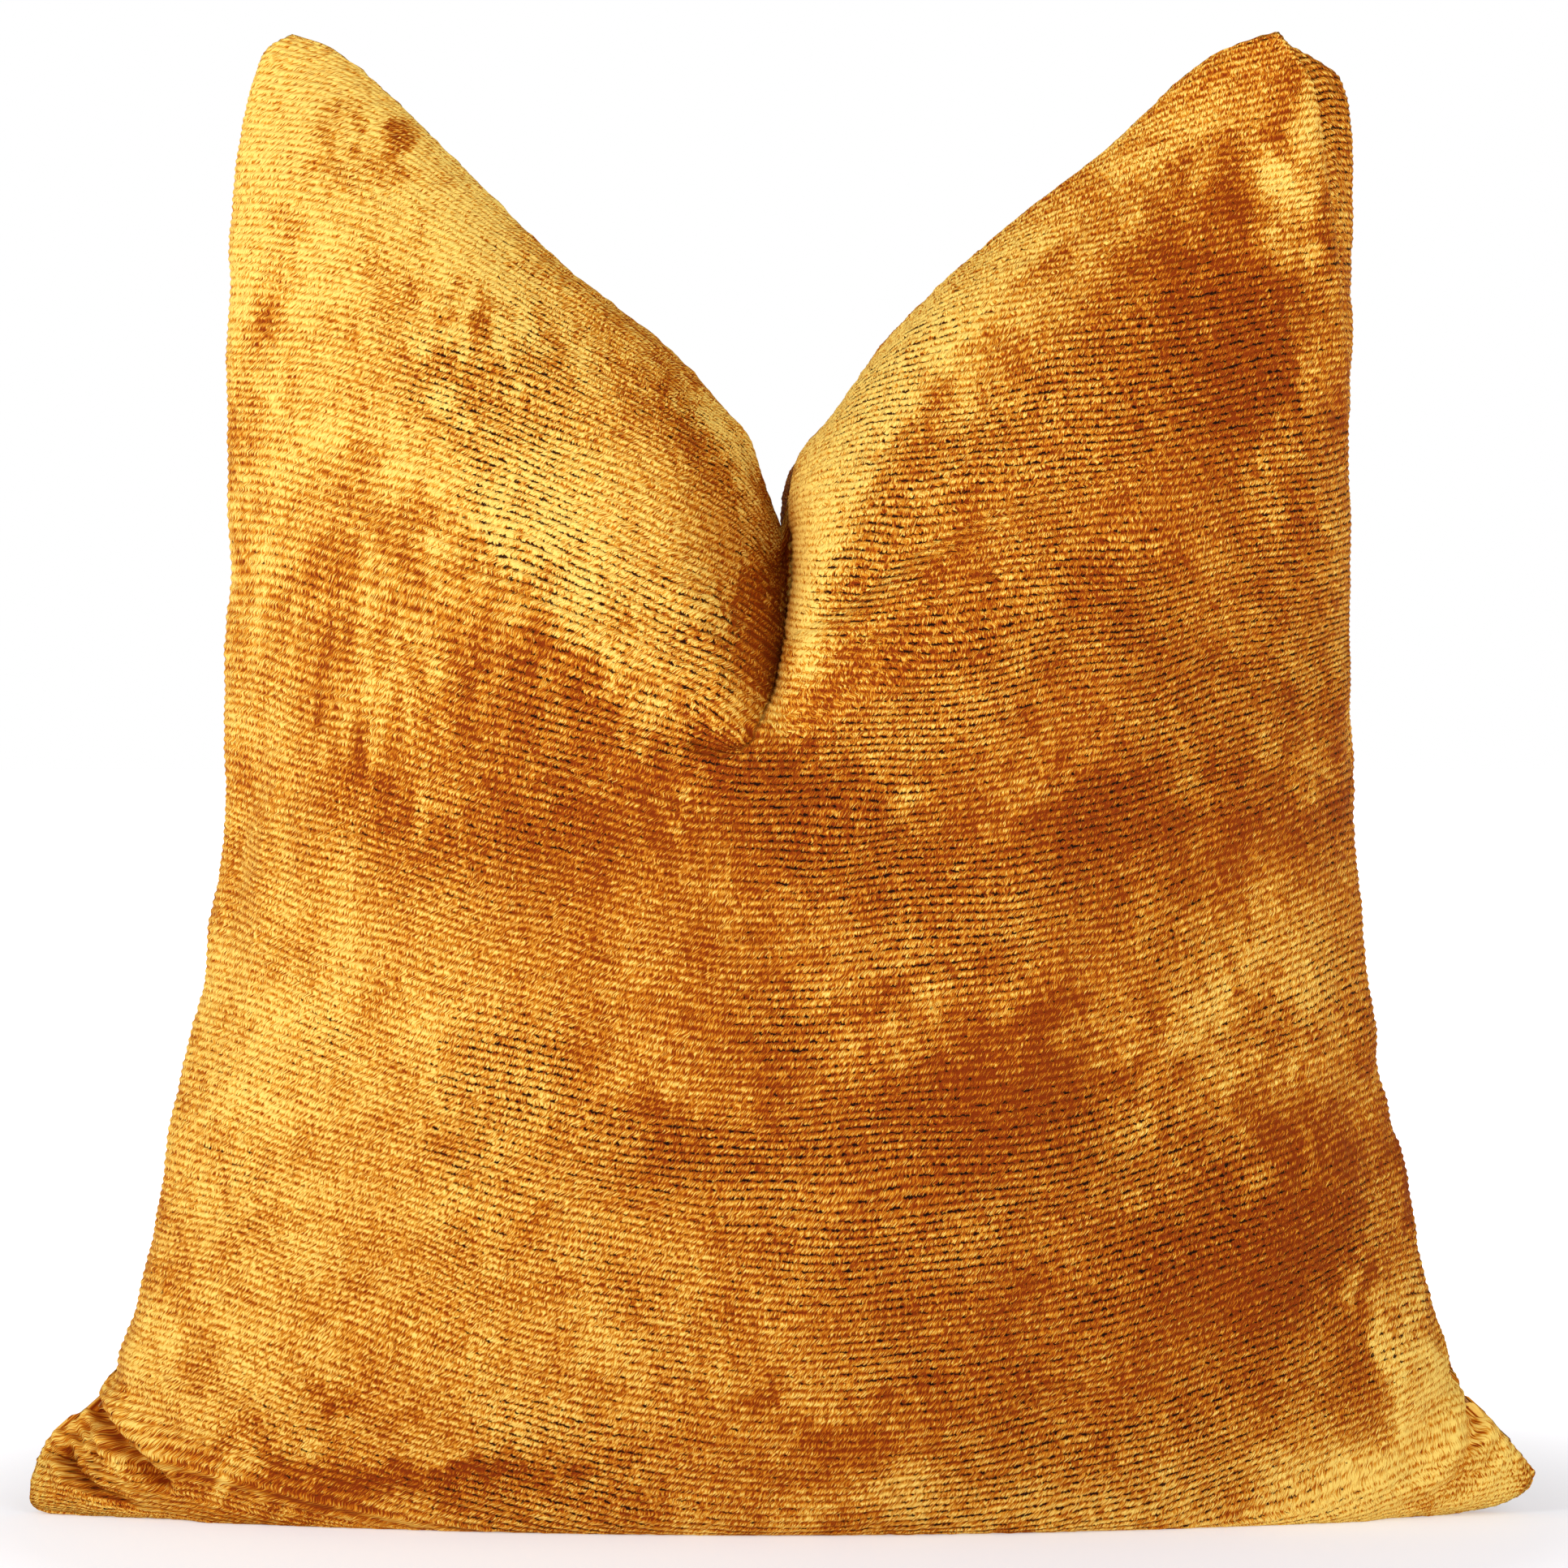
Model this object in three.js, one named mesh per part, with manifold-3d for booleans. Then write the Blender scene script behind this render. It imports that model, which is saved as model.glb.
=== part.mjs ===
// A square throw pillow that stands on its bottom seam with a chopped top: a velvet cover in two
// panels, a zip set into the bottom seam, and a soft insert inside. Millimetres, +Z up, front is -Y.
import * as THREE from "three";
import { mergeVertices } from "three/addons/utils/BufferGeometryUtils.js";
import Module from "manifold-3d";

const wasm = await Module();
wasm.setup();

// ---------------------------------------------------------------- driving dimensions
const BELLY_DEPTH = 80; // half the thickness at the fullest place
const BELLY_HEIGHT = 0.34; // share of the panel's height where it is fullest
const ROUNDING = 2.4; // how square the section is: 2 is an ellipse
const FULLNESS = 0.6; // how steeply the panel rises from its seam
const SAG = 34; // how far the belly hangs below the side seams, pressed flat by the floor
const DIP_POWER = 2.0; // how fast the dip of the top seam dies out down the panel
const CHOP_LOW = 0.7; // share of the panel's height where the chop ends
const CHOP_WIDTH = 0.16; // half width of the chop, as a share of half the panel's width
const CHOP_DEPTH = 0.72; // share of the depth that the chop takes away at the top

const GAP = 0.15; // half the clearance between the two sides of the seam
const COVER_WALL = 2.4; // velvet, pile and backing
const SEAM_THREAD_IN = 4.0; // how far inside the edge the seam thread runs
const SEAM_THREAD_R = 0.5;
const CASING_IN = 6.2; // the insert's casing starts this far inside the cover's outer face
const CASING_WALL = 0.9;
const CASING_THREAD_IN = 9.2;
const CASING_THREAD_R = 0.3;
const FILL_IN = 12.4;
const INSERT_LIFT = 4.2; // room for the zip under the insert

const ZIP_HALF = 186; // half the length of the zip's opening
const ZIP_FADE = 10; // over which the bottom seam closes beyond the zip
const LIP_Y = 6.5; // folded edge of each panel beside the zip
const LIP_Z = 4.4; // height of that edge above the floor
const LIP_FADE = 7; // over which the panel comes down from the lip to the floor
const TAPE_Z = 7.2;
const TAPE_THICK = 0.6;
const TAPE_IN = 0.6; // inner edge of a tape, from the middle
const TAPE_OUT = 13;
const TAPE_HALF = 184;
const COIL_OUT = 2.5;
const COIL_THICK = 2.0;
const COIL_HALF = 176;
const COIL_PITCH = 8;
const STITCH_Y = 9.6;
const SLIDER_REST = 166; // middle of the closed slider
const BRIDGE_Z = TAPE_Z - 4.6; // middle of the bridge's window, where the pull turns
const PULL_LONG = 20;
const PULL_WIDE = 5.4;
const PULL_THICK = 0.5;

const GRID = 20; // divisions of a panel each way

// ---------------------------------------------------------------- materials
const cloth = (name, color, roughness) =>
  new THREE.MeshStandardMaterial({ name, color, roughness, metalness: 0 });
const VELVET = cloth("gold_velvet", 0xc98a24, 0.75);
const THREAD = cloth("gold_thread", 0xb77a20, 0.6);
const CASING = cloth("white_cotton", 0xe9e4d8, 0.9);
const FIBRE = cloth("polyester_fibre", 0xf4f2ec, 0.95);
const TAPE = cloth("zip_tape", 0xa9701f, 0.8);
const NYLON = cloth("nylon_coil", 0x9a641c, 0.45);
const BRASS = new THREE.MeshStandardMaterial({
  name: "antique_brass",
  color: 0x8a6a34,
  roughness: 0.35,
  metalness: 1,
});

// ---------------------------------------------------------------- the pillow's form
// The seam as it stands, seen from the front: each run starts at the corner it is named after.
const FROM_BOTTOM_LEFT = [
  [-243, 4], [-229, 33], [-216, 60], [-202, 104], [-187, 175], [-180, 260], [-179.5, 350], [-177, 432],
];
const FROM_TOP_LEFT = [[-161, 478], [-117, 444], [-75, 405], [-34, 365], [-14, 336]];
const FROM_VALLEY = [[-1, 319], [9, 338], [24, 368], [45, 396], [83, 427], [124, 458]];
const FROM_TOP_RIGHT = [
  [165, 479.5], [183, 430], [185, 350], [184.5, 260], [191, 175], [203, 104], [214, 60], [228, 33],
];
const FROM_BOTTOM_RIGHT = [[243, 4], [120, 4], [0, 4], [-120, 4]];
const RUNS = [FROM_BOTTOM_LEFT, FROM_TOP_LEFT, FROM_VALLEY, FROM_TOP_RIGHT, FROM_BOTTOM_RIGHT];
const OUTLINE = RUNS.flat().map(([x, z]) => new THREE.Vector2(x, z));

const mix = THREE.MathUtils.lerp;
const smooth = (x, from, to) => THREE.MathUtils.smoothstep(x, from, to);

// A closed outline moved inwards by a distance, each corner along its own bisector.
function movedIn(outline, distance) {
  return outline.map((here, k) => {
    const before = outline[(k + outline.length - 1) % outline.length];
    const after = outline[(k + 1) % outline.length];
    const into = here.clone().sub(before).normalize();
    const out = after.clone().sub(here).normalize();
    const bisector = new THREE.Vector2(into.y + out.y, -into.x - out.x).normalize();
    const reach = distance / Math.max(0.5, bisector.x * out.y - bisector.y * out.x);
    return here.clone().addScaledVector(bisector, reach);
  });
}

// The runs of the seam of one layer, as curves from 0 to 1.
const runs = new Map();
function seamRuns(inset) {
  if (!runs.has(inset)) {
    const moved = movedIn(OUTLINE, inset);
    moved.push(moved[0]);
    let start = 0;
    const curves = RUNS.map((run) => {
      const curve = new THREE.SplineCurve(moved.slice(start, start + run.length + 1));
      start += run.length;
      return curve;
    });
    runs.set(inset, curves);
  }
  return runs.get(inset);
}

// Where a point of a layer lies in the plane of the seam, before the floor presses on it.
function flatPlace(u, v, inset) {
  const [left, topLeft, topRight, right, bottom] = seamRuns(inset);
  const l = left.getPointAt(v);
  const r = right.getPointAt(1 - v);
  const t = u < 0.5 ? topLeft.getPointAt(u * 2) : topRight.getPointAt(u * 2 - 1);
  const b = bottom.getPointAt(1 - u);
  const cornersLow = left.getPointAt(0).lerp(right.getPointAt(1), u);
  const cornersHigh = left.getPointAt(1).lerp(right.getPointAt(0), u);
  const place = l.lerp(r, u);
  place.addScaledVector(b.sub(cornersLow), 1 - v ** DIP_POWER);
  place.addScaledVector(t.sub(cornersHigh), v ** DIP_POWER);
  const across = 1 - (2 * u - 1) ** 2;
  place.y -= SAG * across ** 0.8 * (1 - smooth(v, 0.1, 0.8));
  return place;
}

const bulge = (a) => Math.max(0, 1 - Math.abs(a) ** ROUNDING) ** FULLNESS;

// How far the fabric stands off the plane of the seam.
function depth(u, v) {
  const up = v < BELLY_HEIGHT ? v / BELLY_HEIGHT - 1 : (v - BELLY_HEIGHT) / (1 - BELLY_HEIGHT);
  const chop = smooth(v, CHOP_LOW, 1) * Math.exp(-(((2 * u - 1) / CHOP_WIDTH) ** 2));
  return BELLY_DEPTH * bulge(2 * u - 1) * bulge(up) * (1 - CHOP_DEPTH * chop);
}

// The zipped stretch of the bottom seam: 1 along the zip, 0 beyond its ends and further up. The
// layers inside the cover clear the zip by a longer stretch.
function zipped(x, v, isCover) {
  const half = isCover ? ZIP_HALF : ZIP_HALF + 16;
  return (1 - smooth(Math.abs(x), half, half + ZIP_FADE)) * (1 - smooth(v, 0.06, 0.12));
}

// A point of the layer that lies `inset` inside the cover's outer face. side is -1 in front.
// The rim of the layer stands `rim` away from the plane of the seam. The cover is folded up beside
// the zip, and the layers inside it are lifted clear of the zip.
function layerPoint(u, v, inset, side, rim, isCover) {
  const place = flatPlace(u, v, inset);
  const overZip = zipped(place.x, v, isCover);
  const edge = isCover ? mix(rim, LIP_Y, overZip * (1 - smooth(v, 0, 0.08))) : rim;
  const y = edge + depth(u, v) * (1 - inset / BELLY_DEPTH);
  const raised = isCover ? LIP_Z * (1 - smooth(y, LIP_Y, LIP_Y + LIP_FADE)) : INSERT_LIFT;
  const held = place.y * mix(1, smooth(y, TAPE_OUT + 1, TAPE_OUT + 13), overZip);
  return new THREE.Vector3(place.x, side * y, Math.max(held, inset + raised * overZip));
}

// Steps from 0 to 1 that crowd towards both ends, where the panel turns in to its seam.
const crowd = (i, n) => (1 - Math.cos((Math.PI * i) / n)) / 2;

function sheetGrid(n, place) {
  const grid = [];
  for (let j = 0; j <= n; j++) {
    const row = [];
    const v = mix(j / n, crowd(j, n), 0.75);
    for (let i = 0; i <= n; i++) {
      const u = mix(i / n, crowd(i, n), 0.6);
      row.push(place(u, v));
    }
    grid.push(row);
  }
  return grid;
}

// The points around the edge of a grid, in order.
function rimOf(grid) {
  const n = grid.length - 1;
  const rim = [];
  for (let i = 0; i < n; i++) rim.push(grid[0][i]);
  for (let j = 0; j < n; j++) rim.push(grid[j][n]);
  for (let i = n; i > 0; i--) rim.push(grid[n][i]);
  for (let j = n; j > 0; j--) rim.push(grid[j][0]);
  return rim;
}

function addTriangle(list, a, b, c) {
  for (const p of [a, b, c]) list.push(p.x, p.y, p.z);
}

function addSheet(list, grid, flip) {
  const n = grid.length - 1;
  for (let j = 0; j < n; j++) {
    for (let i = 0; i < n; i++) {
      const [a, b, c, d] = [grid[j][i], grid[j][i + 1], grid[j + 1][i + 1], grid[j + 1][i]];
      if (flip) {
        addTriangle(list, a, c, b);
        addTriangle(list, a, d, c);
      } else {
        addTriangle(list, a, b, c);
        addTriangle(list, a, c, d);
      }
    }
  }
}

function addRim(list, outer, inner, flip) {
  outer.forEach((a, k) => {
    const next = (k + 1) % outer.length;
    const [b, c, d] = [outer[next], inner[next], inner[k]];
    if (flip) {
      addTriangle(list, a, b, c);
      addTriangle(list, a, c, d);
    } else {
      addTriangle(list, a, c, b);
      addTriangle(list, a, d, c);
    }
  });
}

function closedGeometry(list) {
  const geometry = new THREE.BufferGeometry();
  geometry.setAttribute("position", new THREE.Float32BufferAttribute(list, 3));
  const merged = mergeVertices(geometry, 1e-3);
  merged.computeVertexNormals();
  return merged;
}

// Half of a bag: an outer sheet, an inner sheet `wall` further in, and the strip between their edges.
function halfShell(side, inset, wall, isCover) {
  const outer = sheetGrid(GRID, (u, v) => layerPoint(u, v, inset, side, GAP, isCover));
  const inner = sheetGrid(GRID, (u, v) => layerPoint(u, v, inset + wall, side, GAP, isCover));
  const list = [];
  addSheet(list, outer, side > 0);
  addSheet(list, inner, side < 0);
  addRim(list, rimOf(outer), rimOf(inner), side > 0);
  return closedGeometry(list);
}

// A solid cushion: a front sheet and a back sheet that share their edge.
function cushion(inset) {
  const list = [];
  for (const side of [-1, 1]) {
    addSheet(list, sheetGrid(GRID, (u, v) => layerPoint(u, v, inset, side, 0, false)), side > 0);
  }
  return closedGeometry(list);
}

// ---------------------------------------------------------------- threads along the seam
// A thread runs in the plane of the seam, from one place on the panel's edge to another.
function seamThread(inset, radius, stops) {
  const run = stops.map(([u, v]) => layerPoint(u, v, inset, 1, 0, false).setY(0));
  return tube(run, radius);
}

function tube(run, radius) {
  const disc = new THREE.Shape();
  disc.absarc(0, 0, radius, 0, 2 * Math.PI);
  return new THREE.ExtrudeGeometry(disc, {
    steps: run.length,
    curveSegments: 3,
    extrudePath: new THREE.CatmullRomCurve3(run),
  });
}

const alongSide = (u, from, to, n) => Array.from({ length: n + 1 }, (_, i) => [u, mix(from, to, i / n)]);
const alongEdge = (v, from, to, n) => Array.from({ length: n + 1 }, (_, i) => [mix(from, to, i / n), v]);

// ---------------------------------------------------------------- zip
function box(x0, x1, y0, y1, z0, z1) {
  const made = new THREE.BoxGeometry(x1 - x0, y1 - y0, z1 - z0);
  return made.translate((x0 + x1) / 2, (y0 + y1) / 2, (z0 + z1) / 2);
}

function solid(geometry) {
  const plain = geometry.clone().deleteAttribute("normal").deleteAttribute("uv");
  const merged = mergeVertices(plain, 1e-4);
  return new wasm.Manifold(
    new wasm.Mesh({
      numProp: 3,
      vertProperties: new Float32Array(merged.attributes.position.array),
      triVerts: new Uint32Array(merged.index.array),
    }),
  );
}

function fromSolid(made) {
  const mesh = made.getMesh();
  const geometry = new THREE.BufferGeometry();
  geometry.setAttribute("position", new THREE.BufferAttribute(mesh.vertProperties, 3));
  geometry.setIndex(new THREE.BufferAttribute(mesh.triVerts, 1));
  geometry.computeVertexNormals();
  return geometry;
}

const joined = (...geometries) => fromSolid(geometries.map(solid).reduce((a, b) => a.add(b)));

function zipTape(side) {
  const [y0, y1] = side < 0 ? [-TAPE_OUT, -TAPE_IN] : [TAPE_IN, TAPE_OUT];
  return box(-TAPE_HALF, TAPE_HALF, y0, y1, TAPE_Z, TAPE_Z + TAPE_THICK);
}

// The coil of one side is a ribbon with a tooth at each turn.
function zipCoil(side) {
  const top = TAPE_Z - 0.3;
  const low = top - COIL_THICK;
  const outline = new THREE.Shape();
  outline.moveTo(-COIL_HALF, COIL_OUT);
  outline.lineTo(-COIL_HALF, TAPE_IN);
  const turns = Math.round((2 * COIL_HALF) / COIL_PITCH);
  for (let k = 0; k < turns; k++) {
    const x = -COIL_HALF + k * COIL_PITCH;
    outline.lineTo(x + COIL_PITCH * 0.55, TAPE_IN);
    outline.lineTo(x + COIL_PITCH * 0.6, TAPE_IN + 0.7);
    outline.lineTo(x + COIL_PITCH * 0.95, TAPE_IN + 0.7);
    outline.lineTo(x + COIL_PITCH, TAPE_IN);
  }
  outline.lineTo(COIL_HALF, COIL_OUT);
  const ribbon = new THREE.ExtrudeGeometry(outline, { depth: COIL_THICK, bevelEnabled: false });
  if (side < 0) ribbon.rotateX(Math.PI).translate(0, 0, COIL_THICK);
  return ribbon.translate(0, 0, low);
}

function tapeStitch(side) {
  const z = TAPE_Z + TAPE_THICK + 0.3;
  return box(-TAPE_HALF + 2, TAPE_HALF - 2, side * STITCH_Y - 0.3, side * STITCH_Y + 0.3, z, z + 0.5);
}

function bottomStop() {
  const x = -COIL_HALF - 4.2;
  return box(x, x + 3.6, -3, 3, TAPE_Z - 2.1, TAPE_Z - 0.3);
}

function topStop(side) {
  const x = COIL_HALF + 0.6;
  const [y0, y1] = side < 0 ? [-3, -TAPE_IN] : [TAPE_IN, 3];
  return box(x, x + 3.6, y0, y1, TAPE_Z - 2.1, TAPE_Z - 0.3);
}

// Bottom plate with two turned-up flanges, a post between the coils, a top plate, and the bridge
// under it that carries the pull.
function sliderBody() {
  const half = 5;
  const plateZ = TAPE_Z - 4.0;
  return joined(
    box(-half, half, -4.3, 4.3, plateZ, plateZ + 1.2),
    box(-half, half, -4.3, -3.1, plateZ + 0.5, TAPE_Z - 0.5),
    box(-half, half, 3.1, 4.3, plateZ + 0.5, TAPE_Z - 0.5),
    box(1, half, -0.3, 0.3, plateZ + 0.5, TAPE_Z + 1.5),
    box(-half, half, -3.4, 3.4, TAPE_Z + 1.0, TAPE_Z + 1.9),
    box(-3.2, -2.2, -0.9, 0.9, plateZ - 1.5, plateZ + 0.5),
    box(2.2, 3.2, -0.9, 0.9, plateZ - 1.5, plateZ + 0.5),
    box(-3.2, 3.2, -0.9, 0.9, plateZ - 1.9, plateZ - 1.2),
  );
}

// A flat tab: a bar that turns inside the slider's bridge, a slot round the bridge, and a finger
// hole at the far end. It turns about the middle of the bar.
function pullTab() {
  const half = PULL_WIDE / 2;
  const outline = new THREE.Shape();
  outline.moveTo(-0.4, -half);
  outline.lineTo(PULL_LONG - half, -half);
  outline.absarc(PULL_LONG - half, 0, half, -Math.PI / 2, Math.PI / 2);
  outline.lineTo(-0.4, half);
  const slot = new THREE.Path();
  slot.moveTo(0.4, -1.4);
  slot.lineTo(0.4, 1.4);
  slot.lineTo(4.2, 1.4);
  slot.lineTo(4.2, -1.4);
  const hole = new THREE.Path();
  hole.absarc(PULL_LONG - half, 0, 1.2, 0, 2 * Math.PI, true);
  outline.holes.push(slot, hole);
  const tab = new THREE.ExtrudeGeometry(outline, {
    depth: PULL_THICK,
    bevelEnabled: false,
    curveSegments: 8,
  });
  return tab.translate(0, 0, -PULL_THICK / 2);
}

// ---------------------------------------------------------------- assembly
const pillow = new THREE.Group();

function add(name, geometry, material, group = pillow) {
  const mesh = new THREE.Mesh(geometry, material);
  mesh.name = name;
  group.add(mesh);
}

for (const [name, side] of [["front", -1], ["back", 1]]) {
  add(`${name}_cover_panel`, halfShell(side, 0, COVER_WALL, true), VELVET);
  add(`${name}_insert_casing`, halfShell(side, CASING_IN, CASING_WALL, false), CASING);
  add(`${name}_zip_tape`, zipTape(side), TAPE);
  add(`${name}_zip_coil`, zipCoil(side), NYLON);
  add(`${name}_tape_stitching`, tapeStitch(side), THREAD);
  add(`${name}_top_stop`, topStop(side), BRASS);
}
add("bottom_stop", bottomStop(), BRASS);
add("fibre_fill", cushion(FILL_IN), FIBRE);

const seams = [
  ["left_seam_thread", alongSide(0, 0.05, 0.985, 20)],
  ["right_seam_thread", alongSide(1, 0.05, 0.985, 20)],
  ["top_seam_thread", alongEdge(1, 0.01, 0.99, 40)],
  ["bottom_left_seam_thread", alongEdge(0, 0.025, 0.055, 4)],
  ["bottom_right_seam_thread", alongEdge(0, 0.945, 0.975, 4)],
];
for (const [name, stops] of seams) add(name, seamThread(SEAM_THREAD_IN, SEAM_THREAD_R, stops), THREAD);
const insertSeam = alongEdge(1, 0.02, 0.98, 40);
add("insert_seam_thread", seamThread(CASING_THREAD_IN, CASING_THREAD_R, insertSeam), CASING);

const slider = new THREE.Group();
slider.position.set(SLIDER_REST, 0, 0);
add("zip_slider", sliderBody(), BRASS, slider);
const pull = new THREE.Group();
pull.position.set(0, 0, BRIDGE_Z);
pull.rotation.z = Math.PI;
add("zip_pull_tab", pullTab(), BRASS, pull);
slider.add(pull);
pillow.add(slider);

export default pillow;
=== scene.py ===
"""A gold velvet throw pillow that stands on its bottom seam, with a chop in its top.

The cover is two panels of hand-loomed velvet. Each panel is one fine grid of points between its four
seams. A field over the grid counts the rows of pile, so the rows are real relief, and the material
follows them too. The shape is worked out in millimetres in the frame's own axes (+X right, +Y back,
+Z up) and fitted to the CAD's box. u runs across a panel from left to right and v from bottom to
top, both from 0 to 1, and a side of -1 is the front panel.
"""

import math

import bmesh
import bpy
import numpy as np
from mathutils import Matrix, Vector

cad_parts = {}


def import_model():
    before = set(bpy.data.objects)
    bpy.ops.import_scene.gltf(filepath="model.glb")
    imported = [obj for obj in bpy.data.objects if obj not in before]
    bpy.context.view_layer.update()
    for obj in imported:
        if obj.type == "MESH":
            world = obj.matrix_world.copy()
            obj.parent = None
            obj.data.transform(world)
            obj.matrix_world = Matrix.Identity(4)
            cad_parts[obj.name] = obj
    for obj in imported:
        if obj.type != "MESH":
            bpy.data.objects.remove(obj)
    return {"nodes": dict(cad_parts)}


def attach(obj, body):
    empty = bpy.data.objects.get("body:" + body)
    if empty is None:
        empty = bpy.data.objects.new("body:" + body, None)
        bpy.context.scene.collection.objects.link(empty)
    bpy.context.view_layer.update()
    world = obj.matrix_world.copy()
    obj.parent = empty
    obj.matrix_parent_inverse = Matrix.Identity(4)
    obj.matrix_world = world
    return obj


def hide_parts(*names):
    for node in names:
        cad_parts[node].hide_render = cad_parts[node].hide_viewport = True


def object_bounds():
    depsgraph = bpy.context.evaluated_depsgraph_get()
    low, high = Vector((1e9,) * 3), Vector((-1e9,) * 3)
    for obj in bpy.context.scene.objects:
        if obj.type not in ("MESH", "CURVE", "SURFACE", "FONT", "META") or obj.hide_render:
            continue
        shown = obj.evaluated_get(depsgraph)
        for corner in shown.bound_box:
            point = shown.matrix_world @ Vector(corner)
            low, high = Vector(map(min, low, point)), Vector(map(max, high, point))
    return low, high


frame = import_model()
CAD_LOW, CAD_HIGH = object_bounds()
MM = 0.001
CLOTH = (508.0, 508.0)  # the flat size of each panel

# ---------------------------------------------------------------- the seam, seen from the front
DRAWN_WIDTH = 482.2
DRAWN_HEIGHT = 479.5
FIT_X = (CAD_HIGH.x - CAD_LOW.x) / MM / DRAWN_WIDTH
FIT_Z = (CAD_HIGH.z - CAD_LOW.z) / MM / DRAWN_HEIGHT

LEFT_SEAM = [
    (-245.5, 11), (-242, 20), (-233, 28), (-225, 33), (-219, 45), (-209.5, 70), (-201, 102),
    (-193, 149), (-184.5, 189), (-179.5, 240), (-177.5, 300), (-179, 370), (-178, 426), (-175, 455),
    (-169, 475), (-160, 481.5),
]
LEFT_TOP_SEAM = [
    (-160, 481.5), (-145, 475), (-128, 461), (-73, 407), (-38, 379), (-14.5, 353), (-6, 334),
    (1, 319),
]
RIGHT_TOP_SEAM = [
    (1, 319), (7, 335), (16, 352), (32, 380), (66, 413), (104, 443), (132, 469), (148, 478),
    (160, 481.5),
]
RIGHT_SEAM = [
    (246, 12), (239, 20), (227.5, 31), (220.5, 40), (215, 57), (207.5, 81), (201, 115), (192, 149),
    (185, 215), (183.5, 270), (182.7, 334), (181, 375), (178, 412), (175, 440), (171, 465),
    (160, 481.5),
]
BOTTOM_SEAM = [
    (-245.5, 11), (-244.5, 2.5), (-232, 0.5), (-180, 4), (0, 4), (180, 4), (222, 6.5),
    (241, 7.5), (246, 12),
]
MIDDLE_Z = 240.0

# ---------------------------------------------------------------- the stuffed form
BELLY = 80.0  # half the thickness at the fullest place
BELLY_HEIGHT = 0.34  # share of the panel's height where it is fullest
ROUNDING = 2.4  # how square the section is: 2 is an ellipse
FULLNESS = 0.6  # how steeply a panel rises from its seam
SAG = 42.0  # how far the middle hangs below the side seams
DIP_MIDDLE = 2.4  # how fast the dip of the top seam dies out down the middle of the panel
DIP_SIDE = 5.0  # the same beside the side seams
FLOOR_SOFT = 2.2  # how round the edge of the flat base is
EAR_TURN = 13.0  # how far the seam of the right ear is turned to the front
EAR_BULGE = 19.0  # how far the back panel swells beyond that seam

# The crease that the chop leaves, from its end up to its top.
CREASE = [(-13, 251), (-7.5, 258), (-0.8, 272), (3.6, 285), (5.6, 307), (6.5, 328)]
CREASE_END = 250.0
CREASE_TOP = 322.0
CREASE_LEFT = (14.0, 46.0)  # half width of the left wall at its end and at its top
CREASE_RIGHT = (7.0, 13.0)
HUMP_OVER = 6.0  # how far the right wall rolls over the crease

ZIP_HALF = 186.0
ZIP_FADE = 10.0  # over which the seam closes beyond the zip
LIP_Y = 6.5  # folded edge of each panel beside the zip
LIP_Z = 4.4  # height of that edge above the floor
LIP_FADE = 7.0  # over which the panel comes down from that edge to the floor

# Folds at the end of the crease and in the lower corners: points, depth, half width.
FRONT_FOLDS = [
    ([(-10, 255), (-14, 252), (-20, 250.5), (-28, 252.5)], 2.0, 1.7),
    ([(-233, 20), (-229, 14), (-223, 9), (-212, 5)], 6.5, 2.2),
    ([(-224, 35), (-215, 25), (-206.5, 18), (-200, 13)], 5.5, 2.6),
    ([(-237, 20.5), (-234, 17.5), (-231, 10)], 2.4, 1.6),
    ([(-230, 27), (-227, 21), (-226, 16)], 1.6, 1.1),
    ([(-227, 29), (-223, 23), (-221, 17)], 1.6, 1.1),
    ([(-216, 45), (-204, 36), (-196, 30)], 1.8, 4.0),
    ([(225, 34), (224.3, 23), (219.6, 14), (213, 7)], 3.8, 3.2),
    ([(231, 23), (228, 16), (219, 8)], 2.6, 2.2),
    ([(219, 44), (210, 34), (203, 20)], 1.4, 5.0),
]
BACK_FOLDS = [
    ([(-223, 35), (-218, 22), (-208, 10)], 3.4, 3.2),
    ([(-214, 46), (-203, 32), (-196, 16)], 1.8, 5.0),
    ([(223, 36), (214, 24), (207, 12)], 3.6, 3.2),
    ([(231, 24), (224, 12), (212, 4)], 2.6, 2.6),
]
FOLD_SIDES = 0.3  # how high the fabric rises beside a fold, as a share of its depth
STUFFING_LUMPS = [((70, 60), 1.5), ((30, 16), 0.5)]  # size of the lumps, how far they push
PUCKERS = 0.45

# ---------------------------------------------------------------- the pile
ROW_PITCH = 2.6
ROW_WANDER = 0.8  # how far a row strays from its course
ROW_DIVE = 11.0  # how far the rows turn down as they run into the crease
FACE_STARTS = 90.0  # above this height the fabric stands nearly upright
FACE_STRETCH = 1.06  # millimetres of fabric to one of height there
CURL_STARTS = 1.1  # the same where the fabric starts to curl over at the top
PILE_HEIGHT = 0.5
TUFT_SHARE = 0.25  # of the pile's height that differs from tuft to tuft
# How far a row of pile rises from the middle of the pillow to each place across it, where the rows
# lie above and below the end of the crease.
ROW_RISE_HIGH = [
    (-185, 58), (-162, 57), (-122, 49), (-70, 30), (-35, 13), (0, 0), (62, 4.5), (114, 11),
    (167, 20), (190, 25),
]
ROW_RISE_LOW = [
    (-245, 52), (-180, 41), (-162, 35), (-122, 23.5), (-70, 10), (-35, 3), (0, 0), (62, 4),
    (114, 13), (167, 31), (190, 42), (245, 54),
]
SEAM_PULL = 2.0  # how far the thread pulls the panels' edges in
SEAM_REACH = 2.4
HEM = [1.0, 3.0, 7.0]  # turned in behind the seam

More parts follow.
